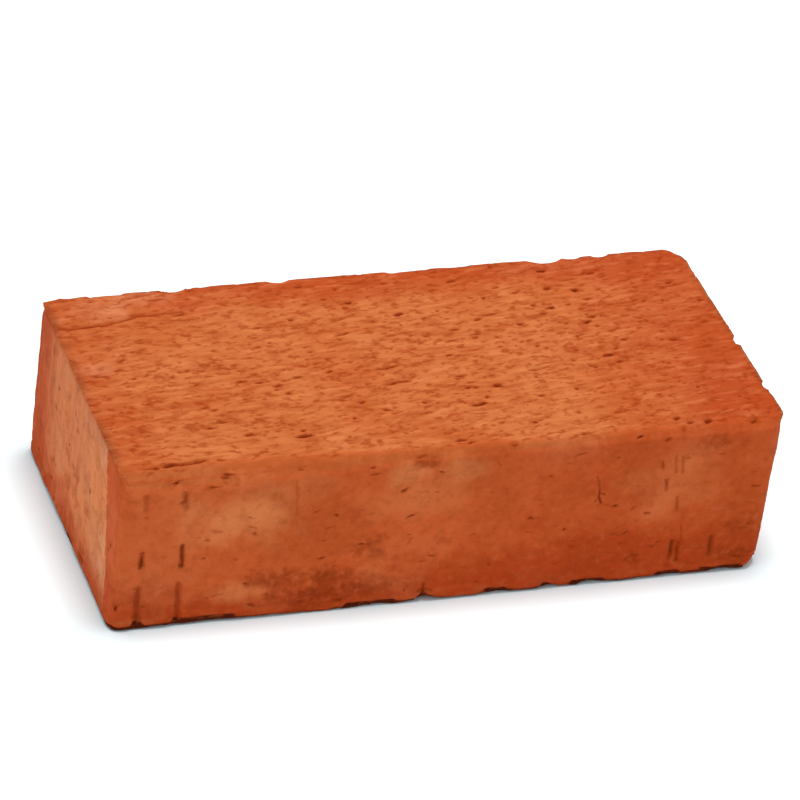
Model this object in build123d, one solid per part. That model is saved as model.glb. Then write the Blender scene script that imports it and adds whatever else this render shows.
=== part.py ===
"""Solid clay brick of the common 250 x 120 x 65 mm format.

A stiff clay column is pushed through a die, cut to bricks by a taut wire, dried and fired.
The die gives the four smooth upright faces and their rounded corners. The wire gives the two
bed faces. It ran a little out of square, so the upright faces lean, and it turned one top arris
over into a soft roll. Handling then knocked chips off the arrises and scored the stretcher.

X runs along the length, Y along the width with the scored stretcher at -Y, and Z runs up from
the lower bed.
"""
import os
from math import radians, sin, sqrt, tan

from build123d import *

os.makedirs("parts", exist_ok=True)

# Fired size, in mm: the box that the brick fills
LENGTH = 250.0
WIDTH = 120.0
HEIGHT = 65.0

# How far the top bed stands towards the right of the lower one
LEAN = 2.5

# Radii of the upright corners, as the die and handling left them
FRONT_LEFT_RADIUS = 4.5
FRONT_RIGHT_RADIUS = 6.5
BACK_RIGHT_RADIUS = 7.0
BACK_LEFT_RADIUS = 3.0

# Radii of the arrises round the two bed faces
ROLLED_ARRIS = 4.5
TOP_BACK_ARRIS = 1.0
TOP_LEFT_ARRIS = 0.8
TOP_RIGHT_ARRIS = 1.5
BOTTOM_ARRIS = 1.2

# Chips along an arris: share of the way from its left or front end, length along it, depth into it
BACK_TOP_CHIPS = ((0.20, 12.0, 2.0), (0.36, 9.0, 1.8), (0.78, 15.0, 2.6), (0.87, 8.0, 1.8))
FRONT_BOTTOM_CHIPS = (
    (0.155, 19.0, 1.0),
    (0.40, 19.0, 1.1),
    (0.478, 9.0, 2.2),
    (0.59, 9.0, 1.6),
    (0.67, 5.0, 1.2),
    (0.735, 14.0, 1.6),
    (0.86, 11.0, 1.4),
    (0.94, 16.0, 1.2),
)
RIGHT_TOP_CHIPS = ((0.20, 5.0, 1.1), (0.45, 6.0, 1.4))

# The corner broken off at the lower front right: how far it runs along each edge
BROKEN_CORNER = 7.0
BROKEN_CORNER_HOLLOW = 0.5

# Upright score lines on the stretcher, each broken into dashes
SCORE_WIDTH = 1.6
SCORE_DEPTH = 0.6
# A line's distance from its end of the brick, then each dash's low and high end as shares of the height
LEFT_SCORES = (
    (10.0, ((0.04, 0.26), (0.42, 0.50))),
    (25.0, ((0.04, 0.28), (0.40, 0.52))),
)
RIGHT_SCORES = (
    (21.4, ((0.12, 0.25),)),
    (34.0, ((0.10, 0.22),)),
    (36.6, ((0.12, 0.24),)),
)

# How far a cutter runs past the clay
OVERRUN = 5.0


def arris_waste(corner, into_one, into_other, radius, run):
    """The sliver lost where two faces round off: into_one and into_other lead from their edge into them."""
    inward = (into_one + into_other).normalized()
    half_angle = radians(into_one.get_angle(into_other) / 2)
    tangent = radius / tan(half_angle)
    start = corner + into_one * tangent
    finish = corner + into_other * tangent
    middle = corner + inward * (radius / sin(half_angle) - radius)
    clear = corner - inward * (2 * OVERRUN)
    outline = Polyline(finish, finish - into_one * OVERRUN, clear, start - into_other * OVERRUN, start)
    section = make_face(outline + ThreePointArc(start, middle, finish))
    return extrude(section, run.length / 2 + OVERRUN, dir=run, both=True)


def scoop(edge_point, outward, chip_length, depth):
    """The ball that takes a hollow flake out of an edge, with its lowest point at the depth."""
    radius = (chip_length**2 / 4 + depth**2) / (2 * depth)
    centre = edge_point + outward.normalized() * (radius - depth)
    return Pos(*centre) * Sphere(radius)


# Ends of the lower bed and of the upper bed, and the way that the upright faces run between them
low_left = -LENGTH / 2
low_right = LENGTH / 2 - LEAN
top_left = low_left + LEAN
top_right = low_right + LEAN
front = -WIDTH / 2
back = WIDTH / 2
rise = Vector(LEAN, 0, HEIGHT)

# The clay column, as the die shapes it and the wire cuts it
die_opening = FilletPolyline(
    (low_left, front),
    (low_right, front),
    (low_right, back),
    (low_left, back),
    radius=(FRONT_LEFT_RADIUS, FRONT_RIGHT_RADIUS, BACK_RIGHT_RADIUS, BACK_LEFT_RADIUS),
    close=True,
)
brick = extrude(make_face(die_opening), rise.length, dir=rise)

# The arrises: along the length first, then along the width
along = Vector(LENGTH, 0, 0)
across = Vector(0, WIDTH, 0)
up = rise.normalized()
right = along.normalized()
inwards = across.normalized()
waste = [
    arris_waste(Vector(0, front, HEIGHT), inwards, Vector(0, 0, -1), ROLLED_ARRIS, along),
    arris_waste(Vector(0, back, HEIGHT), -inwards, Vector(0, 0, -1), TOP_BACK_ARRIS, along),
    arris_waste(Vector(0, front, 0), inwards, Vector(0, 0, 1), BOTTOM_ARRIS, along),
    arris_waste(Vector(0, back, 0), -inwards, Vector(0, 0, 1), BOTTOM_ARRIS, along),
    arris_waste(Vector(top_left, 0, HEIGHT), right, -up, TOP_LEFT_ARRIS, across),
    arris_waste(Vector(top_right, 0, HEIGHT), -right, -up, TOP_RIGHT_ARRIS, across),
    arris_waste(Vector(low_left, 0, 0), right, up, BOTTOM_ARRIS, across),
    arris_waste(Vector(low_right, 0, 0), -right, up, BOTTOM_ARRIS, across),
]

# Chips along the arrises
flakes = []
for share, chip_length, depth in BACK_TOP_CHIPS:
    point = Vector(top_left + share * (top_right - top_left), back, HEIGHT)
    flakes.append(scoop(point, Vector(0, 1, 1), chip_length, depth))
for share, chip_length, depth in FRONT_BOTTOM_CHIPS:
    point = Vector(low_left + share * (low_right - low_left), front, 0)
    flakes.append(scoop(point, Vector(0, -1, -1), chip_length, depth))
for share, chip_length, depth in RIGHT_TOP_CHIPS:
    point = Vector(top_right, front + share * WIDTH, HEIGHT)
    flakes.append(scoop(point, Vector(1, 0, 1), chip_length, depth))

# The broken corner: a shallow hollow through three points, one along each edge from the corner
corner = Vector(low_right, front, 0)
break_depth = BROKEN_CORNER / sqrt(3) + BROKEN_CORNER_HOLLOW
break_width = 2 * BROKEN_CORNER * sqrt(2 / 3)
break_radius = (break_width**2 / 4 + BROKEN_CORNER_HOLLOW**2) / (2 * BROKEN_CORNER_HOLLOW)
break_centre = corner + Vector(1, -1, -1).normalized() * (break_radius - break_depth)
flakes.append(Pos(*break_centre) * Sphere(break_radius))

# Score lines: round-ended grooves sunk in the stretcher, leaning as the upright faces do
groove_radius = (SCORE_WIDTH**2 / 4 + SCORE_DEPTH**2) / (2 * SCORE_DEPTH)
groove_y = front - (groove_radius - SCORE_DEPTH)
score_lines = [(low_left + inset, dashes) for inset, dashes in LEFT_SCORES]
score_lines += [(low_right - inset, dashes) for inset, dashes in RIGHT_SCORES]
grooves = []
for x, dashes in score_lines:
    foot = Vector(x, groove_y, 0)
    for low, high in dashes:
        groove_length = (high - low) * rise.length
        middle = Plane(foot + rise * ((low + high) / 2), x_dir=(0, 1, 0), z_dir=rise)
        groove = middle * Cylinder(groove_radius, groove_length)
        for end in (low, high):
            groove += Pos(*(foot + rise * end)) * Sphere(groove_radius)
        grooves.append(groove)

for cutter in waste + flakes + grooves:
    brick -= cutter

brick = brick.solids()[0]
brick.label = "brick"
export_step(brick, "parts/brick.step")

size = brick.bounding_box().size
print(f"brick {size.X:.2f} x {size.Y:.2f} x {size.Z:.2f} mm, {len(brick.faces())} faces")
print(f"volume {brick.volume / 1000:.1f} cm3")
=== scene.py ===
# %% [markdown]
# # A fired clay brick
# The brick is one block of clay that was pushed through a die, cut by a wire and fired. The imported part
# gives its true size, its lean, its rounded arrises, its chips and its score lines. This script adds what
# the eye sees on top of that: the torn grain of the wire cut, the smooth die faces with their pits, the
# worn edges and the colours of the firing.

# %% Load the part
import math

import bmesh
import bpy
import numpy as np
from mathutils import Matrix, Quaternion, Vector


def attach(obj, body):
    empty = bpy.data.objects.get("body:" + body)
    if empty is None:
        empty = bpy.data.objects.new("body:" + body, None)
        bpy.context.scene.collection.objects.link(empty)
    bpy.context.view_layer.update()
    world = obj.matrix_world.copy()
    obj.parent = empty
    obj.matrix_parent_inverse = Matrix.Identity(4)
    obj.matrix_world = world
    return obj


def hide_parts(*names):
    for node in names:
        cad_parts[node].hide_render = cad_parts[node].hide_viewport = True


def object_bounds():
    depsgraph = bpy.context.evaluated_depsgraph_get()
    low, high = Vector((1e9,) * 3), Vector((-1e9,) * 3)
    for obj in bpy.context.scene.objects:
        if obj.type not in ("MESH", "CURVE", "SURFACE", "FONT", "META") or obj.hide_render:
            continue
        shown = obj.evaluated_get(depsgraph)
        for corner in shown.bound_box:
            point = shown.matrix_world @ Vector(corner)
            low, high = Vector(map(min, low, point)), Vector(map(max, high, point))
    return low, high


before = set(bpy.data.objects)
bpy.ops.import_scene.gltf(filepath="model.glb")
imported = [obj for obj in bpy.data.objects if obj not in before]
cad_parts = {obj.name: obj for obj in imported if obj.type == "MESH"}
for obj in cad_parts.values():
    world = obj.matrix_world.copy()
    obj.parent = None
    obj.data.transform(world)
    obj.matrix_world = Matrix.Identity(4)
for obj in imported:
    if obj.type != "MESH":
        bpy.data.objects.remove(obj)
cad_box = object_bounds()
MM = 0.001
size_mm = (cad_box[1] - cad_box[0]) / MM
print("brick box in mm:", [round(side, 2) for side in size_mm])

# %% [markdown]
# ## The block of clay
# Fine relief needs a mesh with points about half a millimetre apart. A box could be subdivided to get them,
# but the part already has the chips, the roll and the score lines in place. So a copy of it is merged to
# one closed skin, and a voxel remesh lays an even net of small squares over that skin.

# %% A closed copy with a fine, even net
VOXEL = 0.5 * MM


def applied(obj, name):
    """The object's mesh with its modifiers worked in."""
    bpy.context.view_layer.update()
    seen = obj.evaluated_get(bpy.context.evaluated_depsgraph_get())
    mesh = bpy.data.meshes.new_from_object(seen)
    mesh.name = name
    return mesh


skin = bmesh.new()
skin.from_mesh(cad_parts["brick"].data)
bmesh.ops.remove_doubles(skin, verts=skin.verts, dist=0.001 * MM)
clay_mesh = bpy.data.meshes.new("clay_skin")
skin.to_mesh(clay_mesh)
skin.free()

brick = bpy.data.objects.new("clay_brick", clay_mesh)
bpy.context.scene.collection.objects.link(brick)
net = brick.modifiers.new("fine net", "REMESH")
net.mode = "VOXEL"
net.voxel_size = VOXEL
brick.data = applied(brick, "clay_net")
brick.modifiers.clear()
print("fine net:", len(brick.data.vertices), "points")

# %% [markdown]
# ## Reading the block
# Every mark below is a depth in millimetres, pressed in along the surface's own direction. So the script
# reads each point's place and direction once, and works out how far the point is from the faces and the
# arrises.

# %% Places, directions and faces
def read(mesh, what):
    """The place or the direction of each point of the mesh, as rows of x, y and z."""
    rows = np.empty(len(mesh.vertices) * 3, np.float32)
    if what == "place":
        mesh.vertices.foreach_get("co", rows)
    else:
        mesh.vertex_normals.foreach_get("vector", rows)
    return rows.reshape(-1, 3).astype(float)


def ease(value, low, high):
    """0 below low, 1 above high, and a smooth step between."""
    share = np.clip((value - low) / (high - low), 0, 1)
    return share * share * (3 - 2 * share)


LENGTH, WIDTH, HEIGHT = (np.ptp(read(brick.data, "place"), axis=0) / MM).round()
# How far the top bed stands towards the right of the lower one, in mm
LEAN = 2.5


def places(mesh):
    """Points in mm, with x read square to the leaning ends."""
    points = read(mesh, "place") / MM
    points[:, 0] -= LEAN * (points[:, 2] / HEIGHT - 0.5)
    return points


points = places(brick.data)
normals = read(brick.data, "direction")
print("points span", np.ptp(points, axis=0).round(1), "mm")

# %% [markdown]
# ## Clay noise
# Clay is never quite even. A table of random numbers, read with smooth steps between its cells, gives
# gentle swellings of any size. The sizes are given in mm along each direction, so the same noise makes
# round dents or long drag lines.

# %% Smooth random heights
KNOTS = 64


def clay_noise(at, grain, seed):
    """Heights from -1 to 1 that change over about the grain, in mm."""
    table = np.random.default_rng(seed).uniform(-1, 1, (KNOTS, KNOTS, KNOTS))
    place = at / np.array(grain, float) + seed * 7.3
    cell = np.floor(place).astype(int)
    part = place - cell
    part = part * part * (3 - 2 * part)
    total = np.zeros(len(at))
    for corner in np.ndindex(2, 2, 2):
        weight = np.prod(np.where(corner, part, 1 - part), axis=1)
        knot = (cell + corner) % KNOTS
        total += weight * table[knot[:, 0], knot[:, 1], knot[:, 2]]
    return total


# The slow swelling of the whole block: its height and its grain, in mm
SWELL = 0.10
SWELL_GRAIN = (34, 30, 26)


def swell(at):
    """Depth of the block's slow swellings and hollows."""
    return SWELL * (1.0 + clay_noise(at, SWELL_GRAIN, 1))


print("swellings up to", swell(points).max().round(2), "mm")

# %% [markdown]
# ## The wire-cut beds
# The wire drags coarse grains through the clay. Each grain tears a short hollow and smears a line behind
# it, so the bed is full of small slots that all run the same way, with finer lines between them. A texture
# could paint them, but they catch the light, so each one is pressed into the mesh. The largest are listed
# one by one where the brick has them.

# %% The drag of the wire
DRAG_ANGLE = math.radians(7.5)


def drag_axes(at):
    """Distance along and across the drag of the wire, with the clay's own wander."""
    wobble = 1.4 * clay_noise(at, (60, 25, 400), 5) + 0.45 * clay_noise(at, (2.2, 2.2, 400), 6)
    along = at[:, 0] * math.cos(DRAG_ANGLE) + at[:, 1] * math.sin(DRAG_ANGLE)
    across = at[:, 1] * math.cos(DRAG_ANGLE) - at[:, 0] * math.sin(DRAG_ANGLE) + wobble
    return along + 0.7 * clay_noise(at, (1.7, 1.7, 400), 7), across


def pressed(along, across, marks, soft=False):
    """Depth at each point from marks of (along, across, turn, half length, half width, depth)."""
    depth = np.zeros(len(along))
    order = np.argsort(along)
    ranked = along[order]
    for mark_along, mark_across, turn, half_length, half_width, deep in marks:
        reach = max(half_length, half_width) * 1.05
        low, high = np.searchsorted(ranked, (mark_along - reach, mark_along + reach))
        near = order[low:high]
        off_along = along[near] - mark_along
        off_across = across[near] - mark_across
        run = (off_along * math.cos(turn) + off_across * math.sin(turn)) / half_length
        side = (off_across * math.cos(turn) - off_along * math.sin(turn)) / half_width
        hollow = np.clip(1 - run**2 - side**2, 0, 1)
        profile = hollow**2 if soft else np.sqrt(hollow) * (0.65 + 0.35 * hollow)
        depth[near] = np.maximum(depth[near], deep * profile)
    return depth


print("the wire drags at", round(math.degrees(DRAG_ANGLE), 1), "degrees to the length")

# %% Large tears of the cutting wire
# The largest tears of the top bed: x, y and half length in mm, and how strong each is, from 1 to 3
LARGE_TEARS = (
    (-13, 40, 1.6, 3), (3, 30, 1.6, 3), (-21, 20, 2.4, 2), (-51, 29, 1.6, 2), (-52, 21, 3.9, 1),
    (-77, 42, 2.4, 2), (-12, -4, 4.3, 2), (1, -2, 3.1, 1), (-12, -14, 4.7, 2), (-46, -5, 1.6, 2),
    (-54, -9, 1.6, 2), (-33, -3, 1.6, 2), (-27, -24, 1.2, 2), (-54, -42, 2.7, 3), (-73, -38, 2.0, 2),
    (-80, -29, 1.6, 2), (-89, -25, 2.4, 1), (-84, 5, 1.2, 2), (-109, 9, 1.6, 2), (-104, 3, 1.2, 2),
    (-95, 5, 3.1, 1), (-97, -52, 3.5, 3), (-106, -52, 2.0, 3), (-111, -53, 1.2, 3), (-111, -18, 1.6, 1),
    (-84, -19, 1.2, 2), (-81, -21, 0.8, 2), (-69, 57, 1.6, 2), (-87, -37, 3.9, 1), (66, 51, 1.6, 3),
    (64, 39, 1.6, 2), (74, 36, 1.2, 3), (77, 30, 1.6, 2), (61, 26, 1.6, 3), (72, 15, 1.6, 3),
    (84, 47, 1.6, 2), (111, 36, 1.2, 2), (119, 23, 1.2, 2), (94, 26, 1.6, 1), (90, 8, 1.2, 2),
    (72, -8, 2.4, 3), (81, 1, 1.6, 2), (48, 2, 1.2, 2), (51, -9, 3.9, 1), (25, -21, 1.6, 3),
    (14, -21, 1.6, 2), (15, -32, 2.7, 3), (39, -30, 1.2, 2), (14, -13, 2.4, 2), (21, 17, 1.6, 2),
    (28, 13, 2.0, 2), (37, 25, 3.9, 2), (51, 38, 1.6, 2), (17, 10, 2.0, 2), (86, -42, 2.0, 1),
    (1, -53, 2.4, 2), (4, -55, 1.6, 2), (46, -56, 1.2, 2), (64, -45, 3.9, 1), (29, 49, 2.4, 2),
    (83, -52, 1.3, 3), (94, -55, 1.3, 3), (111, -57, 1.3, 3), (87, -55, 1.2, 2),
)
# Half width and depth of a mark by its strength, in mm, and how much the wire draws its length out
HALF_WIDTHS = {1: 0.5, 2: 0.65, 3: 0.8}
DEPTHS = {1: 0.4, 2: 0.65, 3: 1.0}
DRAWN_OUT = 1.2
large = np.array(LARGE_TEARS, float)
large_axes = drag_axes(np.column_stack([large[:, :2], np.full(len(large), HEIGHT)]))
half_lengths = DRAWN_OUT * large[:, 2]
by_strength = np.array([(HALF_WIDTHS[level], DEPTHS[level]) for *_, level in LARGE_TEARS])
own_tears = np.column_stack([*large_axes, np.zeros(len(large)), half_lengths, by_strength])
print("top bed:", len(own_tears), "large tears")


# %% Tears by chance
def tears(seed, count, lengths, widths, depths):
    """Random tears over a bed, closest together along its middle."""
    dice = np.random.default_rng(seed)
    along = dice.uniform(-LENGTH / 2, LENGTH / 2, count)
    across = np.clip(dice.normal(0, 0.33, count), -0.56, 0.56) * WIDTH
    turn = dice.normal(0, 0.15, count)
    shares = dice.uniform(0, 1, (3, count)) ** 1.6
    spans = [low + share * (high - low) for share, (low, high) in zip(shares, (lengths, widths, depths))]
    return np.column_stack([along, across, turn, *spans])


bed_marks = {"top": [own_tears], "bottom": []}
for bed, seed in (("top", 11), ("bottom", 21)):
    bed_marks[bed].append(tears(seed, 200, (0.9, 2.4), (0.55, 0.9), (0.35, 0.7)))
    bed_marks[bed].append(tears(seed + 1, 1100, (0.6, 1.9), (0.45, 0.8), (0.2, 0.45)))
    bed_marks[bed].append(tears(seed + 2, 110, (3.0, 7.0), (0.45, 0.7), (0.2, 0.45)))
    bed_marks[bed] = np.vstack(bed_marks[bed])
    print(bed, "bed:", len(bed_marks[bed]), "tears")

# %% The torn bed
# The stain round a mark has the mark's place, turn and strength, and is longer and wider
HALO = np.array([1, 1, 1, 1.7, 1.9, 1.0])


def bed_relief(at, bed):
    """Depth of the torn bed, and how dark it is painted: shade in a tear, a stain round one, or a scuff."""
    along, across = drag_axes(at)
    torn = pressed(along, across, bed_marks[bed])
    halo = pressed(along, across, bed_marks[bed] * HALO, soft=True)
    run = np.column_stack([along, across, np.zeros(len(at))])
    lines = 0.09 * clay_noise(run, (16, 2.0, 1), 31) + 0.11 * clay_noise(run, (9, 3.2, 1), 32)
    lumps = 0.10 * clay_noise(run, (5, 3.4, 1), 33) + 0.03 * clay_noise(run, (2.2, 1.6, 1), 34)
    scuffs = ease(clay_noise(run, (4.6, 2.2, 1), 35) + 0.5 * clay_noise(run, (2.4, 1.6, 1), 36), 0.5, 1.0)
    return torn + 0.3 * scuffs - lines - lumps + 0.15, np.maximum(np.maximum(0.6 * torn, halo), 0.3 * scuffs)


print("a stain is", HALO[3], "times as long and", HALO[4], "times as wide as its tear")

# %% [markdown]
# ## The die faces
# The die leaves the four upright faces smooth and tight, with shallow streaks the way the column moved and
# a few pits where a grain fell out. Along the foot the wire pushed out a thin lip of clay, in lobes with
# cracks between them. Noise alone would put these marks anywhere, so the pits, lobes and scratches that the
# photo shows on the stretcher, and one drying crack, are laid out one by one, and only the other faces and
# the finest marks are left to chance.

# %% Pits of the stretcher
# Each pit is x, z and half length in mm, and how strong it is
STRETCHER_PITS = (
    (-86, 62, 1.5, 3), (-104, 61, 1.2, 3), (-91, 58, 2.3, 2), (-101, 53, 1.2, 2), (-91, 28, 0.8, 2),
    (-98, 26, 0.8, 2), (-121, 10, 1.0, 3), (-74, 16, 1.2, 2), (-71, 6, 1.5, 2), (-79, 27, 1.2, 1),
    (-33, 61, 0.8, 2), (-20, 50, 1.5, 2), (-16, 38, 1.5, 2), (-44, 42, 1.2, 2), (-33, 28, 1.5, 2),
    (9, 27, 1.9, 1), (-48, 24, 1.5, 2), (-9, 18, 1.5, 1), (8, 13, 1.9, 1), (30, 32, 1.5, 2),
    (30, 26, 1.2, 1), (-59, 63, 1.2, 2), (-56, 64, 1.5, 2), (-15, 63, 2.3, 2), (67, 63, 1.2, 3),
    (62, 34, 1.2, 2), (75, 29, 1.5, 2), (32, 40, 1.2, 1), (44, 26, 0.8, 2), (49, 20, 1.2, 1),
    (73, 11, 1.9, 2), (43, 11, 1.2, 1), (114, 6, 1.9, 2), (100, 52, 1.9, 1), (78, 61, 1.5, 2),
)
# A pit's width and depth against a tear of the same strength
PIT_WIDTH = 0.9
PIT_DEPTH = 0.8
pit_dice = np.random.default_rng(41)
own_pits = []
for x, z, half_length, level in STRETCHER_PITS:
    turn = pit_dice.normal(0, 0.3)
    half_width, deep = HALF_WIDTHS[level] * PIT_WIDTH, DEPTHS[level] * PIT_DEPTH
    own_pits.append((x + LENGTH / 2, z, turn, half_length, half_width, deep))
print("stretcher:", len(own_pits), "pits")

# %% Marks by chance
# Pits on the three other upright faces, and thin ticks on the stretcher
PITS = 130
TICKS = 70
other_pits = np.column_stack(
    [
        pit_dice.uniform(LENGTH, 2 * (LENGTH + WIDTH), PITS),
        pit_dice.uniform(3, HEIGHT - 3, PITS),
        pit_dice.normal(0, 0.5, PITS),
        pit_dice.uniform(0.5, 1.6, PITS),
        pit_dice.uniform(0.35, 0.8, PITS),
        pit_dice.uniform(0.3, 0.9, PITS) ** 2,
    ]
)
tick_dice = np.random.default_rng(42)
front_ticks = np.column_stack(
    [
        tick_dice.uniform(3, LENGTH - 3, TICKS),
        tick_dice.uniform(5, HEIGHT - 5, TICKS),
        tick_dice.normal(0, 0.35, TICKS),
        tick_dice.uniform(0.6, 2.4, TICKS),
        tick_dice.uniform(0.28, 0.42, TICKS),
        tick_dice.uniform(0.2, 0.5, TICKS),
    ]
)
die_pits = np.vstack([own_pits, other_pits, front_ticks])
print("upright faces:", len(die_pits), "pits and ticks")

# %% Lip at the foot
# Lobes of the lip on the stretcher: where each starts and ends along x, and how high it is, in mm
LIP_LOBES = (
    (-37, -23.5, 7.5), (-21.5, -9, 6.5), (-4, 15, 5.5), (-70, -56, 5), (-107, -101, 6), (27, 37, 5),
    (65, 80, 5),
)
# The lip's height between the lobes
LIP_HEIGHT = 4.0


def foot_lip(round_face, z):
    """How far the face lies behind the lip, and how open the crack above it is, for its depth and painted
    shade.
    """
    run = np.column_stack([round_face, np.zeros(len(z)), np.zeros(len(z))])
    top = LIP_HEIGHT + 1.6 * clay_noise(run, (11, 1, 1), 54) + 0.8 * clay_noise(run, (4, 1, 1), 55)
    proud = 0.45 + 0.35 * clay_noise(run, (26, 1, 1), 60)
    opened = ease(clay_noise(run, (7, 1, 1), 56) + 0.5 * clay_noise(run, (2.5, 1, 1), 57), 0.25, 0.9)
    for start, end, high in LIP_LOBES:
        along = (2 * (round_face - LENGTH / 2) - start - end) / (end - start)
        inside = ease(1 - np.abs(along), 0, 0.15)
        top += inside * (high * np.sqrt(np.clip(1 - along**4, 0, 1)) - LIP_HEIGHT)
        opened *= 1 - 0.4 * inside
    behind = proud * ease(z, top - 1.2, top + 0.6)
    return behind, opened * np.exp(-(((z - top) / 0.9) ** 2))


print("lip of the stretcher:", len(LIP_LOBES), "lobes")

# %% Hollows under the foot
# Hollows under the front foot: where each starts and ends along x, and its height, in mm
FOOT_HOLLOWS = (
    (-116, -110, 3.4), (-101, -76, 3.2), (-37, -16, 2.6), (-9, -4, 4.0), (16, 26, 2.8), (38, 43, 2.8),
    (49, 64, 2.6), (82, 93, 2.6), (99, 117, 2.4),
)


# The strip inside the outline of the beds that the hollows keep to, and how softly it ends, in mm
OUTLINE_STRIP = 4.5
STRIP_FADE = 2.5


def from_outline(at):
    """How far each point lies inside the outline of the beds."""
    return np.minimum(LENGTH / 2 - np.abs(at[:, 0]), WIDTH / 2 - np.abs(at[:, 1]))


def at_outline(at):
    """Share of each point that lies in the strip inside the outline of the beds."""
    return ease(OUTLINE_STRIP - from_outline(at), 0, STRIP_FADE)


def hollow_foot(at, facing):
    """Share of each point in the low band and hollows of the foot, which are painted with the shade at the
    floor.
    """
    jagged = clay_noise(at, (4, 4, 400), 92)
    height = 1.1 + 0.8 * clay_noise(at, (14, 14, 400), 91) + 0.5 * jagged
    front = ease(-facing[:, 1], 0.2, 0.5)
    for start, end, high in FOOT_HOLLOWS:
        inside = ease(at[:, 0], start - 1.5, start + 2) * ease(-at[:, 0], -end - 1.5, 2 - end)
        height = np.maximum(height, front * inside * (high + 0.6 * jagged))
    return ease(height - at[:, 2], -0.3, 0.5) * at_outline(at)


print("foot of the stretcher:", len(FOOT_HOLLOWS), "hollows")


# %% Relief of the die faces
def around(at, facing):
    """Distance round the four upright faces, starting at the front left corner."""
    x, y = at[:, 0] + LENGTH / 2, at[:, 1] + WIDTH / 2
    on_end = np.abs(facing[:, 0]) > np.abs(facing[:, 1])
    along_long = np.where(facing[:, 1] < 0, x, 2 * LENGTH + WIDTH - x)
    along_end = np.where(facing[:, 0] > 0, LENGTH + y, 2 * (LENGTH + WIDTH) - y)
    return np.where(on_end, along_end, along_long)


def die_relief(at, facing):
    """Depth of the smooth upright faces, and their painted shade in pits and cracks, stains and flakes."""
    round_face = around(at, facing)
    wander = [0.8 * clay_noise(at, (2.1, 2.1, 2.1), seed) for seed in (58, 59)]
    pits = pressed(round_face + wander[0], at[:, 2] + wander[1], die_pits)
    halo = pressed(round_face + wander[0], at[:, 2] + wander[1], die_pits * HALO, soft=True)
    run = np.column_stack([round_face, at[:, 2], np.zeros(len(at))])
    streaks = 0.04 * clay_noise(run, (2.2, 30, 1), 51)
    lumps = 0.16 * clay_noise(run, (10, 6, 1), 52) + 0.08 * clay_noise(run, (3.6, 2.2, 1), 53)
    lumps += 0.05 * clay_noise(run, (1.7, 1.3, 1), 63)
    flaked = clay_noise(run, (9, 4.5, 1), 64) + 0.5 * clay_noise(run, (2.8, 1.8, 1), 65)
    flaked = ease(flaked, 0.32, 0.48) * ease(34 - at[:, 2], 0, 16)
    behind, crack = foot_lip(round_face, at[:, 2])
    depth = pits - streaks - lumps + 0.2 + behind + 0.5 * crack + 0.3 * flaked
    depth += 0.9 * hollow_foot(at, facing)
    return depth, np.maximum(np.maximum(pits, halo), np.maximum(0.5 * crack, 0.12 * flaked))


print("upright faces:", round(2 * (LENGTH + WIDTH)), "mm round")

# %% Scratches and the crack on the stretcher
# Each is x and z of its start and end, half width and depth in mm, and how dark it is
SCRATCHES = (
    (-114.2, 33.0, -113.8, 27.0, 0.9, 0.15, 1.0), (-114.0, 18.0, -113.1, 1.5, 1.4, 0.2, 0.7),
    (-99.6, 34.5, -98.9, 25.8, 0.9, 0.15, 1.0), (-99.4, 18.6, -98.2, 1.5, 1.2, 0.2, 0.65),
    (-115.6, 57.4, -114.8, 50.6, 1.1, 0.2, 0.45), (-101.1, 56.7, -100.3, 50.5, 1.4, 0.3, 0.6),
    (102.3, 16.2, 102.8, 8.0, 1.1, 0.15, 0.9), (87.2, 15.7, 87.6, 7.6, 1.0, 0.15, 0.85),
    (89.7, 14.7, 90.2, 6.5, 0.8, 0.15, 0.8), (89.5, 22.0, 90.5, 15.7, 0.6, 0.25, 0.5),
    (85.8, 34.6, 86.6, 29.3, 0.8, 0.25, 0.65), (80.2, 43.2, 81.1, 38.6, 0.8, 0.25, 0.65),
    (77.4, 51.3, 78.0, 48.5, 0.7, 0.2, 0.6), (82.4, 52.9, 83.6, 46.2, 0.8, 0.2, 0.5),
    (84.9, 52.6, 86.1, 45.9, 0.8, 0.2, 0.5), (-60.9, 58.4, -59.1, 43.5, 0.6, 0.15, 0.4),
    (114.8, 36.9, 117.4, 36.8, 0.6, 0.4, 0.7), (-6.8, 1.0, -7.0, 8.0, 0.7, 0.6, 1.0),
    (53.0, 48.0, 54.7, 42.2, 0.4, 0.5, 0.6), (54.7, 42.2, 55.0, 38.4, 0.45, 0.6, 0.8),
    (55.0, 38.4, 56.2, 35.9, 0.5, 0.7, 0.8), (54.9, 40.0, 57.2, 39.4, 0.4, 0.5, 0.7),
    (56.2, 35.9, 61.9, 33.9, 0.35, 0.3, 0.35), (54.9, 38.0, 53.6, 36.8, 0.4, 0.4, 0.6),
)
# Lines on the top bed, with y in the place of z
BED_LINES = (
    (-121.5, 38.0, -105.8, 38.9, 0.8, 0.5, 0.9), (-105.8, 38.9, -92.8, 42.8, 0.9, 0.6, 1.0),
    (-92.8, 42.8, -76.3, 43.8, 0.7, 0.4, 0.8), (-116.0, -53.0, -107.0, -52.4, 0.6, 0.4, 0.7),
    (-107.0, -52.4, -93.0, -51.4, 0.9, 0.6, 1.0),
)


def lined(spots, lines):
    """Depth and darkness at spots on a face, from lines across it."""
    depth, dark = np.zeros(len(spots)), np.zeros(len(spots))
    for from_u, from_v, to_u, to_v, half_width, deep, strength in lines:
        start = np.array((from_u, from_v))
        run = np.array((to_u - from_u, to_v - from_v))
        share = np.clip((spots - start) @ run / (run @ run), 0, 1)
        gap = np.linalg.norm(spots - start - share[:, None] * run, axis=1)
        line = np.exp(-((gap / half_width) ** 2))
        depth = np.maximum(depth, deep * line)
        dark = np.maximum(dark, strength * line)
    return depth, dark


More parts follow.
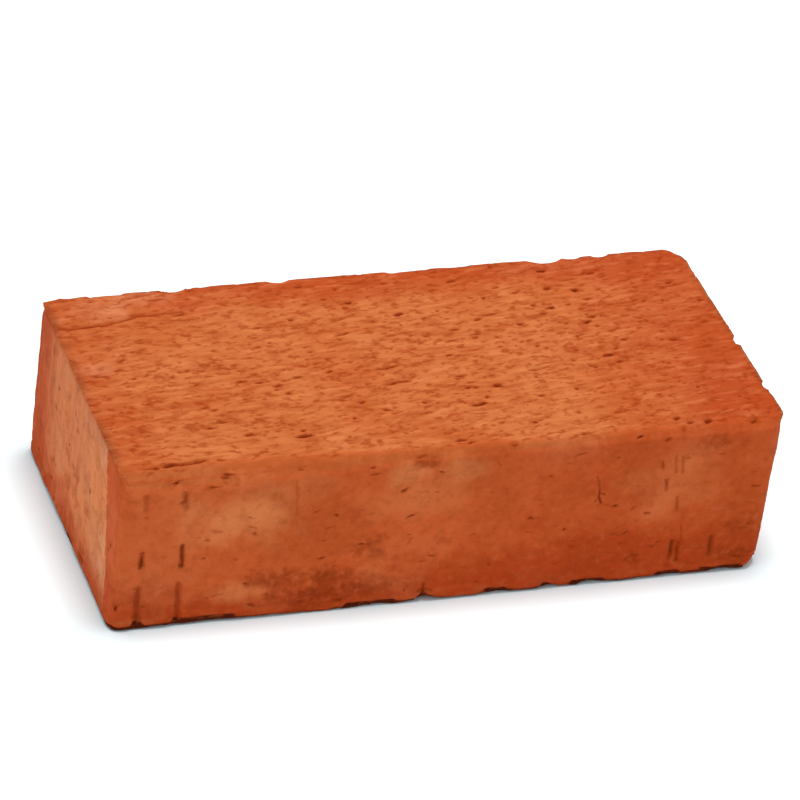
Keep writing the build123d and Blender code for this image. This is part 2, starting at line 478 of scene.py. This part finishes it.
def scratched(at, facing):
    """Depth and darkness of the lines on the stretcher and on the top bed."""
    depth, dark = np.zeros(len(at)), np.zeros(len(at))
    front = np.flatnonzero((facing[:, 1] < -0.4) & (at[:, 1] < 4 - WIDTH / 2))
    top = np.flatnonzero((facing[:, 2] > 0.4) & (at[:, 2] > HEIGHT - 4))
    for face, axes, lines in ((front, (0, 2), SCRATCHES), (top, (0, 1), BED_LINES)):
        wander = np.column_stack([clay_noise(at[face], (2.6, 2.6, 2.6), seed) for seed in (61, 62)])
        depth[face], dark[face] = lined(at[face][:, axes] + 0.3 * wander, lines)
    return depth, dark * (0.85 + 0.35 * clay_noise(at, (2.6, 2.6, 2.6), 66))


print("lines:", len(SCRATCHES), "on the stretcher and", len(BED_LINES), "on the top bed")

# %% [markdown]
# ## Worn arrises
# Wet clay tears at its arrises and dry clay crumbles there. So the arris is eaten back by noise that is
# strongest within a few millimetres of two faces at once. Three edges of the brick in the photo also differ
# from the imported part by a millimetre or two: the roll is wider at its left end, the back right corner is
# rounder, and the left end of the top reaches further out. Moves along the surface's own direction would
# fold a tight edge over, so the roll and the corner are moved towards their own axes.

# %% Distance to the edges, and rounder edges
def to_edge(at):
    """Distance to the nearest arris, and to the nearest corner, of the block."""
    half = np.array((LENGTH, WIDTH, HEIGHT)) / 2
    middle = np.array((0, 0, HEIGHT / 2))
    gaps = np.sort(half - np.abs(at - middle), axis=1)
    return gaps[:, 1], gaps[:, 2]


# In mm: the radius of the roll at its right end, how much more it is at its left, and the corner's radius
ROLL_RADIUS = 4.5
ROLL_WIDENING = 4.5
BACK_RIGHT_RADIUS = 11


def rounded(gap_one, gap_other, radius):
    """How far to move in from each of two faces, so that the edge between them is rounded off."""
    inside = np.clip(radius - np.stack([gap_one, gap_other]), 0, None)
    return inside * np.clip(1 - radius / np.maximum(np.hypot(*inside), 0.001), 0, None)


def worn_edges(at):
    """Move of each point that widens the roll towards the left end, and rounds the back right corner."""
    from_front, from_back = WIDTH / 2 + at[:, 1], WIDTH / 2 - at[:, 1]
    from_right = (LENGTH - LEAN) / 2 - at[:, 0]
    roll_radius = ROLL_RADIUS + ROLL_WIDENING * ease(-at[:, 0], -10, 105)
    roll_back, roll_down = rounded(from_front, HEIGHT - at[:, 2], roll_radius)
    corner_left, corner_front = rounded(from_right, from_back, BACK_RIGHT_RADIUS)
    return np.column_stack([-corner_left, roll_back - corner_front, -roll_down])


print("radius of the roll: from", ROLL_RADIUS, "to", ROLL_RADIUS + ROLL_WIDENING, "mm")


# %% All the marks together
def relief(at, facing):
    """Depth of all marks at each point, and how dark it is painted, mostly as shade in marks and under the
    foot.
    """
    top = ease(facing[:, 2], 0.45, 0.85)
    bottom = ease(-facing[:, 2], 0.45, 0.85)
    side = 1 - top - bottom
    top_depth, top_dark = bed_relief(at, "top")
    low_depth, low_dark = bed_relief(at, "bottom")
    die_depth, die_dark = die_relief(at, facing)
    line_depth, line_dark = scratched(at, facing)
    arris, corner = to_edge(at)
    near = np.exp(-((arris / 2.0) ** 2))
    crumbs = clay_noise(at, (5.5, 5.5, 5.5), 71) + 0.6 * clay_noise(at, (2.4, 2.4, 2.4), 72)
    nicks = ease(clay_noise(at, (8, 8, 8), 73), 0.35, 0.75)
    eaten = near * (0.05 + 0.5 * np.clip(crumbs, 0, 2) + 0.6 * nicks)
    eaten += 1.4 * np.exp(-((corner / 3.5) ** 2))
    depth = top * top_depth + bottom * 0.5 * low_depth + side * die_depth + line_depth + eaten
    depth += swell(at)
    # Painted shade on the underside near the outline of the foot, which faces the floor
    under = ease(-facing[:, 2], 0.15, 0.7) * ease(3.5 - at[:, 2], 0, 2) * at_outline(at)
    shade_and_openness = np.maximum(top * top_dark + bottom * low_dark + side * die_dark, 0.7 * under)
    return np.clip(depth, 0, None), np.maximum(shade_and_openness, 0.8 * line_dark)


depth, shade_and_openness = relief(points, normals)
print("marks reach", depth.max().round(2), "mm deep, mean", depth.mean().round(2), "mm")

# %% Press the marks in
# How far in from its outline the lower bed is uneven, and how high up the lift dies away, in mm
RIM_REACH = 9
LIFT_REACH = 6


def lift(at):
    """How far the lower bed is off the ground: it stands on its middle and on a few lobes of its rim."""
    rim = np.exp(-((from_outline(at) / RIM_REACH) ** 2))
    lobes = 0.15 + 0.4 * clay_noise(at, (17, 17, 400), 74) + 0.3 * clay_noise(at, (5.5, 5.5, 400), 75)
    return np.clip(0.1 + rim * lobes, 0, 1) * np.clip(1 - at[:, 2] / LIFT_REACH, 0, 1)


# How far the left end of the top bed reaches out past the lean of the block, in mm
TOP_LEFT_REACH = 1.6
reach = TOP_LEFT_REACH * points[:, 2] / HEIGHT * ease(-points[:, 0], 0, 110)
moved = read(brick.data, "place") + (worn_edges(points) - normals * depth[:, None]) * MM
moved[:, 0] -= reach * MM
moved[:, 2] += lift(points) * MM
moved = np.clip(moved, *np.array(cad_box))
brick.data.vertices.foreach_set("co", moved.ravel())
brick.data.update()
print("pressed brick:", (np.ptp(moved, axis=0) / MM).round(2), "mm")

# %% [markdown]
# ## A lighter mesh
# The net has far more squares than the smooth faces need. The Decimate modifier folds together the squares
# that lie nearly flat and keeps the ones round the tears, so the brick stays light enough to reuse.

# %% Thin out the flat squares
MOST_TRIANGLES = 196000
thinning = brick.modifiers.new("thin out", "DECIMATE")
thinning.ratio = MOST_TRIANGLES / (2 * len(brick.data.polygons))
brick.data = applied(brick, "clay_brick")
brick.modifiers.clear()
shape = bmesh.new()
shape.from_mesh(brick.data)
bmesh.ops.triangulate(shape, faces=shape.faces)
shape.to_mesh(brick.data)
volume = shape.calc_volume(signed=True) / MM**3 / 1000
print("brick:", len(shape.faces), "triangles,", round(volume, 1), "cm3")
shape.free()
brick.data.shade_smooth()

# %% [markdown]
# ## Where the colours lie
# The kiln and later handling left soft patches: pale dusty ones on the stretcher and the left header,
# redder clay along the edges, and brown stains. The upright faces grow darker and redder towards the
# foot. The tight skin of the die also runs over the roll onto the top, and round the front left corner onto
# the header. The shade along the foot, where the brick meets the floor, is painted too. A painted picture
# could hold all this, but it would be tied to one view. So each patch is a soft spot with a frayed outline,
# noted on the points of the mesh, and stays in place from every side.

# %% Soft patches
points = places(brick.data)
normals = read(brick.data, "direction")
_, shade_and_openness = relief(points, normals)
x, y, z = points.T
on_front = ease(-normals[:, 1], 0.35, 0.8)
on_left = ease(-normals[:, 0], 0.8, 0.97)
on_top = ease(normals[:, 2], 0.35, 0.8)
on_bottom = ease(-normals[:, 2], 0.35, 0.8)


def frayed(seed):
    """Noise that frays an outline, coarse and fine."""
    return clay_noise(points, (12, 12, 12), seed) + 0.7 * clay_noise(points, (4, 4, 4), seed + 9)


fray = np.column_stack([frayed(81), frayed(82)])


def patch(u, v, spots):
    """Soft spots of (u, v, half length, half height, strength) with frayed outlines."""
    total = np.zeros(len(u))
    for middle_u, middle_v, half_u, half_v, strength in spots:
        du = (u - middle_u) / half_u + 0.45 * fray[:, 0]
        dv = (v - middle_v) / half_v + 0.45 * fray[:, 1]
        total = np.maximum(total, strength * np.exp(-((du**2 + dv**2) ** 1.5)))
    return total


# Spots of a face: the place and half size across it and up it in mm, and the strength
FRONT_PALE = (
    (-81, 46, 22, 15, 0.85), (-21, 56, 8, 5, 1.0), (1, 56, 8, 5.5, 1.0), (-12, 47, 20, 10, 0.4),
    (82, 42, 18, 15, 0.4), (-118, 60, 6, 9, 0.25), (-60, 54, 14, 8, 0.4), (-75, 12, 12, 4.5, 0.6),
    (-96, 54, 5, 6, 0.3),
)
FRONT_BROWN = (
    (-13, 60.5, 7, 3.5, 0.7), (-44, 17, 10, 6, 0.8), (-62, 17, 13, 5, 0.7), (-30, 27, 8, 8, 0.6),
    (-106, 59, 9, 3, 0.25), (95, 56, 9, 7, 0.55), (112, 22, 7, 9, 0.5), (73, 9, 6, 5, 0.5),
    (-85, 60, 4, 2, 0.7), (22, 54, 3, 7, 0.3), (110, 8, 9, 6, 0.7), (-110, 6, 9, 3, 0.4),
    (-38, 9, 26, 7, 0.75),
)
LEFT_PALE = ((-38, 44, 24, 20, 0.8), (-20, 22, 24, 14, 0.5), (18, 50, 12, 16, 0.3))
TOP_PALE = ((-105, 49, 14, 10, 0.5), (-90, 54, 12, 5, 0.35), (-116, 10, 6, 4, 0.4))
print("stretcher:", len(FRONT_PALE), "pale and", len(FRONT_BROWN), "brown spots")

# %% Notes on the mesh for the material
edge_fray = 4 * fray[:, 0] + 2 * fray[:, 1]
# Distance from the left, right and back arrises of the top, and how dark they are
rim = np.maximum(HEIGHT - z, np.minimum((LENGTH - LEAN) / 2 - np.abs(x), WIDTH / 2 - y))
rim_dark = 0.32 * np.exp(-((rim / 1.7) ** 2)) * (1 + 0.6 * fray[:, 0])
# How far the die's skin runs onto the top and onto the left header
skin_on_top = 3.0 + 5.0 * ease(-x, -20, 110) + 1.2 * fray[:, 0]
skin_on_left = 10 + 0.2 * z + 0.8 * fray[:, 1]
# What lies beyond it: the beds, the headers, and a pale margin on the left header
from_front = WIDTH / 2 + y
bed_share = ease(np.abs(normals[:, 2]) + 0.15 * fray[:, 1], 0.4, 0.85)
bed_share *= ease(from_front - skin_on_top, -1.5, 1.5)
behind_skin = ease(from_front - skin_on_left, -0.8, 0.8)
header = ease(np.abs(normals[:, 0]), 0.8, 0.97) * (1 - (x < 0) * (1 - behind_skin))
pale_margin = behind_skin * np.exp(-(((from_front - skin_on_left) / 22) ** 2)) * ease(z + edge_fray, 0, 20)
# Redder clay on the right, back and left of the top, and the upright faces darker and redder towards the
# foot
red_top = 0.75 * ease(x + edge_fray, 45, 108)
red_top += 0.9 * ease(y + edge_fray, 36, 54) * ease(x + edge_fray, -105, -80)
red_top += 0.5 * ease(edge_fray - x, 92, 120)
red_top += 0.45 * ease(x + edge_fray, 80, 115) * ease(-y + edge_fray, 0, 40)
red_foot = ease(22 + 6 * ease(x, -20, 30) - z + 1.6 * edge_fray, 0, 18)
notes = {
    "shade_and_open_clay": shade_and_openness / 0.75,
    "bed_face": bed_share,
    "die_face": 1 - bed_share,
    "end_face": header,
    "rolled_skin": (1 - bed_share) * ease(normals[:, 2], 0.2, 0.65) * (1 - 0.5 * ease(x, 20, 90)),
    "pale_bloom": on_left * pale_margin + on_top * patch(x, y, TOP_PALE),
    "pale_dust": on_front * patch(x, z, FRONT_PALE) + on_left * behind_skin * patch(y, z, LEFT_PALE),
    "brown_stain": on_front * patch(x, z, FRONT_BROWN),
    "red_clay": on_top * red_top
    + (1 - on_top - 0.6 * on_bottom) * 0.9 * red_foot
    + on_left * (ease(y + edge_fray, 18, 56) + 0.5 * (1 - behind_skin))
    + on_front * (0.4 * ease(x + edge_fray, -10, 60) + 0.15 * ease(edge_fray - x, 70, 110)),
    # Painted shade along the foot and in its hollows, where the brick meets the floor, and darker arrises
    # round the top
    "dark_rim": np.maximum(hollow_foot(points, normals), rim_dark),
}
for name, values in notes.items():
    note = brick.data.attributes.new(name, "FLOAT", "POINT")
    note.data.foreach_set("value", np.clip(values, 0, 1).astype(np.float32))
    print(name, "mean", values.mean().round(3))

# %% [markdown]
# ## Fired clay
# Iron in the clay burns to orange and red. The wire-cut bed is open and bright, and the die faces are
# tighter and redder. The upright faces grow darker and redder towards the foot, and the foot's lowest band
# and its hollows are painted dark as the shade where the brick meets the floor. The surface is dry and
# dusty, so it is almost without gloss. The tears, pits and cracks are painted darker than the skin, as the
# shade that falls in them where light is lost. A picture of a brick would do for one face, but its grain
# would stretch round the edges. So the colour is built from layers: soft noise at real sizes in mm, and the
# notes of the mesh, which give the eye the patches, the stains, and the painted shade in the tears and along
# the foot.

# %% Colours and the node helper
def linear(code):
    """An sRGB hex colour as linear red, green, blue and alpha."""
    channels = [int(code[i : i + 2], 16) / 255 for i in (1, 3, 5)]
    return [c / 12.92 if c <= 0.04045 else ((c + 0.055) / 1.055) ** 2.4 for c in channels] + [1.0]


def add(tree, kind, settings=None, **inputs):
    """A node of a kind with its settings. Inputs are set to values or linked to sockets: _0 is the first."""
    node = tree.nodes.new(kind)
    for key, value in (settings or {}).items():
        setattr(node, key, value)
    for key, value in inputs.items():
        socket = node.inputs[int(key[1:])] if key[0] == "_" else node.inputs[key.replace("_", " ")]
        if isinstance(value, bpy.types.NodeSocket):
            tree.links.new(value, socket)
        else:
            socket.default_value = value
    return node


def per_mm(grain):
    """Texture scale whose pattern changes over a grain in mm."""
    return 1 / (grain * MM)


MULTIPLY = {"operation": "MULTIPLY"}
COLOUR_MIX = {"data_type": "RGBA"}
print("texture scale of a grain of 1 mm:", round(per_mm(1)))

# %% Patterns in the clay
fired_clay = bpy.data.materials.new("fired_clay")
fired_clay.use_nodes = True
clay = fired_clay.node_tree
clay.nodes.clear()
spot = add(clay, "ShaderNodeTexCoord").outputs["Object"]
share = {name: add(clay, "ShaderNodeAttribute", {"attribute_name": name}).outputs["Fac"] for name in notes}
drag = add(clay, "ShaderNodeMapping", Vector=spot, Rotation=(0, 0, -DRAG_ANGLE)).outputs["Vector"]
# Long grains: lines and dashes along the drag of the wire, and upright rubbing on the headers
grains = {"streak": (drag, (10.0, 2.2, 3.0)), "dash": (drag, (3.6, 1.8, 3.0)), "rub": (spot, (4.0, 4.0, 34))}
drawn = {}
for name, (place, sizes) in grains.items():
    scale = tuple(per_mm(grain) for grain in sizes)
    drawn[name] = add(clay, "ShaderNodeVectorMath", MULTIPLY, _0=place, _1=scale).outputs["Vector"]
pattern = {
    "cloud": add(clay, "ShaderNodeTexNoise", Vector=spot, Scale=per_mm(38), Detail=3.0, Roughness=0.6),
    "mottle": add(clay, "ShaderNodeTexNoise", Vector=spot, Scale=per_mm(7), Detail=4.0, Roughness=0.65),
    "blotch": add(clay, "ShaderNodeTexNoise", Vector=spot, Scale=per_mm(3), Detail=2.0, Roughness=0.6),
    "grit": add(clay, "ShaderNodeTexNoise", Vector=spot, Scale=per_mm(1.1), Detail=2.0, Roughness=0.6),
    "streak": add(clay, "ShaderNodeTexNoise", Vector=drawn["streak"], Scale=1.0, Detail=1.0, Roughness=0.5),
    "dash": add(clay, "ShaderNodeTexNoise", Vector=drawn["dash"], Scale=1.0, Detail=1.0, Roughness=0.5),
    "rub": add(clay, "ShaderNodeTexNoise", Vector=drawn["rub"], Scale=1.0, Detail=2.0, Roughness=0.5),
}
wave = {name: node.outputs["Fac"] for name, node in pattern.items()}
print("patterns:", ", ".join(wave))

# %% Layers of colour
# The stains are broken up into dabs
dabs = add(clay, "ShaderNodeMath", MULTIPLY, _0=share["brown_stain"], _1=wave["blotch"]).outputs[0]
BED, DIE, END = "#BC6736", "#D25E2D", "#D6784A"
upright = add(clay, "ShaderNodeMix", COLOUR_MIX, _0=share["end_face"], _6=linear(DIE), _7=linear(END))
faces = add(clay, "ShaderNodeMix", COLOUR_MIX, _0=share["bed_face"], _6=upright.outputs[2], _7=linear(BED))
colour = faces.outputs[2]
# A layer is what spreads it, where it begins and is full, its strength, its colour and the face it keeps to
layers = (
    (share["red_clay"], 0.0, 1.0, 0.85, "#A83A14", "bed_face"),
    (share["red_clay"], 0.0, 1.0, 0.85, "#B83D12", "die_face"),
    (share["rolled_skin"], 0.0, 1.0, 0.8, "#AC5A2C", None),
    (share["pale_bloom"], 0.05, 1.0, 0.78, "#DC9870", None),
    (share["pale_dust"], 0.05, 0.8, 0.9, "#E0804A", None),
    (dabs, 0.12, 0.5, 0.85, "#8A2E08", None),
    (wave["cloud"], 0.47, 0.68, 0.45, "#AE4618", None),
    (wave["cloud"], 0.50, 0.28, 0.25, "#CC7A4C", None),
    (wave["mottle"], 0.52, 0.70, 0.50, "#9C3E16", "bed_face"),
    (wave["mottle"], 0.52, 0.70, 0.28, "#9C3E16", "die_face"),
    (wave["mottle"], 0.52, 0.70, 0.30, "#9C3E16", "end_face"),
    (wave["blotch"], 0.52, 0.72, 0.24, "#94340C", "die_face"),
    (wave["blotch"], 0.46, 0.28, 0.18, "#D67A4C", "die_face"),
    (wave["streak"], 0.52, 0.72, 0.45, "#9E3E14", "bed_face"),
    (wave["streak"], 0.47, 0.25, 0.25, "#DD8A56", "bed_face"),
    (wave["dash"], 0.54, 0.70, 0.65, "#963408", "bed_face"),
    (wave["rub"], 0.52, 0.75, 0.30, "#D08A62", "end_face"),
    (wave["rub"], 0.48, 0.25, 0.30, "#A8542C", "end_face"),
    (wave["grit"], 0.58, 0.85, 0.10, "#D88858", None),
    (wave["grit"], 0.42, 0.15, 0.14, "#8E3A16", None),
    # Painted shade in the tears, pits, cracks and under the foot, with stains, scuffs and scratches
    (share["shade_and_open_clay"], 0.08, 0.6, 0.75, "#983404", None),
    (share["shade_and_open_clay"], 0.50, 1.0, 0.80, "#661E00", None),
    # Painted shade at the foot, where the brick meets the floor, and darker arrises round the top
    (share["dark_rim"], 0.0, 1.0, 0.9, "#4E1A09", None),
)
for spread, begin, full, strength, code, only_on in layers:
    how_much = add(
        clay, "ShaderNodeMapRange", Value=spread, From_Min=begin, From_Max=full, To_Min=0.0, To_Max=strength
    ).outputs["Result"]
    if only_on:
        how_much = add(clay, "ShaderNodeMath", MULTIPLY, _0=how_much, _1=share[only_on]).outputs[0]
    colour = add(clay, "ShaderNodeMix", COLOUR_MIX, _0=how_much, _6=colour, _7=linear(code)).outputs[2]
print("layers of colour:", len(layers))

# %% The dry, rough skin
grain_bump = add(clay, "ShaderNodeBump", Strength=0.2, Distance=0.2 * MM, Height=wave["grit"])
drag_bump = add(
    clay,
    "ShaderNodeBump",
    Strength=0.4,
    Distance=0.25 * MM,
    Height=wave["streak"],
    Normal=grain_bump.outputs["Normal"],
)
shader = add(
    clay,
    "ShaderNodeBsdfPrincipled",
    Base_Color=colour,
    Roughness=0.92,
    IOR=1.5,
    Normal=drag_bump.outputs["Normal"],
)
shader.inputs["Specular IOR Level"].default_value = 0.06
shader.inputs["Diffuse Roughness"].default_value = 0.6
add(clay, "ShaderNodeOutputMaterial", Surface=shader.outputs["BSDF"])
brick.data.materials.clear()
brick.data.materials.append(fired_clay)
print("fired clay:", len(clay.nodes), "nodes")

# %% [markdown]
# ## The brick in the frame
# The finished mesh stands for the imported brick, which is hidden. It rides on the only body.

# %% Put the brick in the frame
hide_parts("brick")
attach(brick, "root")
print("in the frame:", brick.name)

# %% [markdown]
# ## Floor, light and camera
# The photo shows the brick on white under a broad soft light from above, with a faint shadow at its left. A
# curved backdrop could hide the horizon, but the camera looks down and sees only the floor, so one plane is
# enough. A large soft box gives the soft shadow, a weak one brightens the left header, and the world fills
# in the rest. The camera stands where the corners of the brick fall on those of the photo.

# %% Pale floor
FLOOR_REACH = 3000 * MM
floor_shape = bmesh.new()
bmesh.ops.create_grid(floor_shape, x_segments=1, y_segments=1, size=FLOOR_REACH)
floor_mesh = bpy.data.meshes.new("floor")
floor_shape.to_mesh(floor_mesh)
floor_shape.free()
floor = bpy.data.objects.new("floor", floor_mesh)
bpy.context.scene.collection.objects.link(floor)
pale = bpy.data.materials.new("pale_paper")
pale.use_nodes = True
paper = pale.node_tree.nodes["Principled BSDF"]
paper.inputs["Base Color"].default_value = linear("#F0FBFD")
paper.inputs["Roughness"].default_value = 0.9
floor_mesh.materials.append(pale)
print("floor:", round(2 * FLOOR_REACH, 1), "m wide")

# %% Soft light
LIT_POINT = Vector((0, 0, 30)) * MM


def soft_light(name, place, size, watts, tint):
    """A square soft box at a place in mm, turned to the brick."""
    data = bpy.data.lights.new(name, "AREA")
    data.color = tint
    data.size = size * MM
    data.energy = watts
    lamp = bpy.data.objects.new(name, data)
    lamp.location = Vector(place) * MM
    lamp.rotation_mode = "QUATERNION"
    lamp.rotation_quaternion = (LIT_POINT - lamp.location).to_track_quat("-Z", "Y")
    bpy.context.scene.collection.objects.link(lamp)


soft_light("overhead", place=(45, 25, 1300), size=560, watts=14.8, tint=(1.03, 1.0, 0.985))
soft_light("left fill", place=(-1500, -500, 600), size=900, watts=3.0, tint=(0.9, 1.0, 1.04))
WORLD_TINT = (0.92, 1.0, 1.04, 1)
WORLD_STRENGTH = 0.60
world = bpy.data.worlds.new("studio")
world.use_nodes = True
sky = world.node_tree.nodes["Background"]
sky.inputs["Color"].default_value = WORLD_TINT
sky.inputs["Strength"].default_value = WORLD_STRENGTH
bpy.context.scene.world = world
bpy.context.scene.view_settings.view_transform = "Standard"
print("lights:", ", ".join(light.name for light in bpy.data.lights))

# %% Camera
# Fitted to the corners of the brick in the photo
EYE = Vector((-567.35, -1487.71, 1080.22)) * MM
AIM = Vector((5.637, 21.521, 32.5)) * MM
ROLL = math.radians(6.604)
LENS = 234.57
SENSOR = 36.0
camera_data = bpy.data.cameras.new("camera")
camera_data.lens = LENS
camera_data.sensor_width = SENSOR
camera = bpy.data.objects.new("camera", camera_data)
camera.location = EYE
camera.rotation_mode = "QUATERNION"
camera.rotation_quaternion = (AIM - EYE).to_track_quat("-Z", "Y") @ Quaternion((0, 0, 1), ROLL)
bpy.context.scene.collection.objects.link(camera)
bpy.context.scene.camera = camera
print("the camera is", round((AIM - EYE).length, 2), "m away")
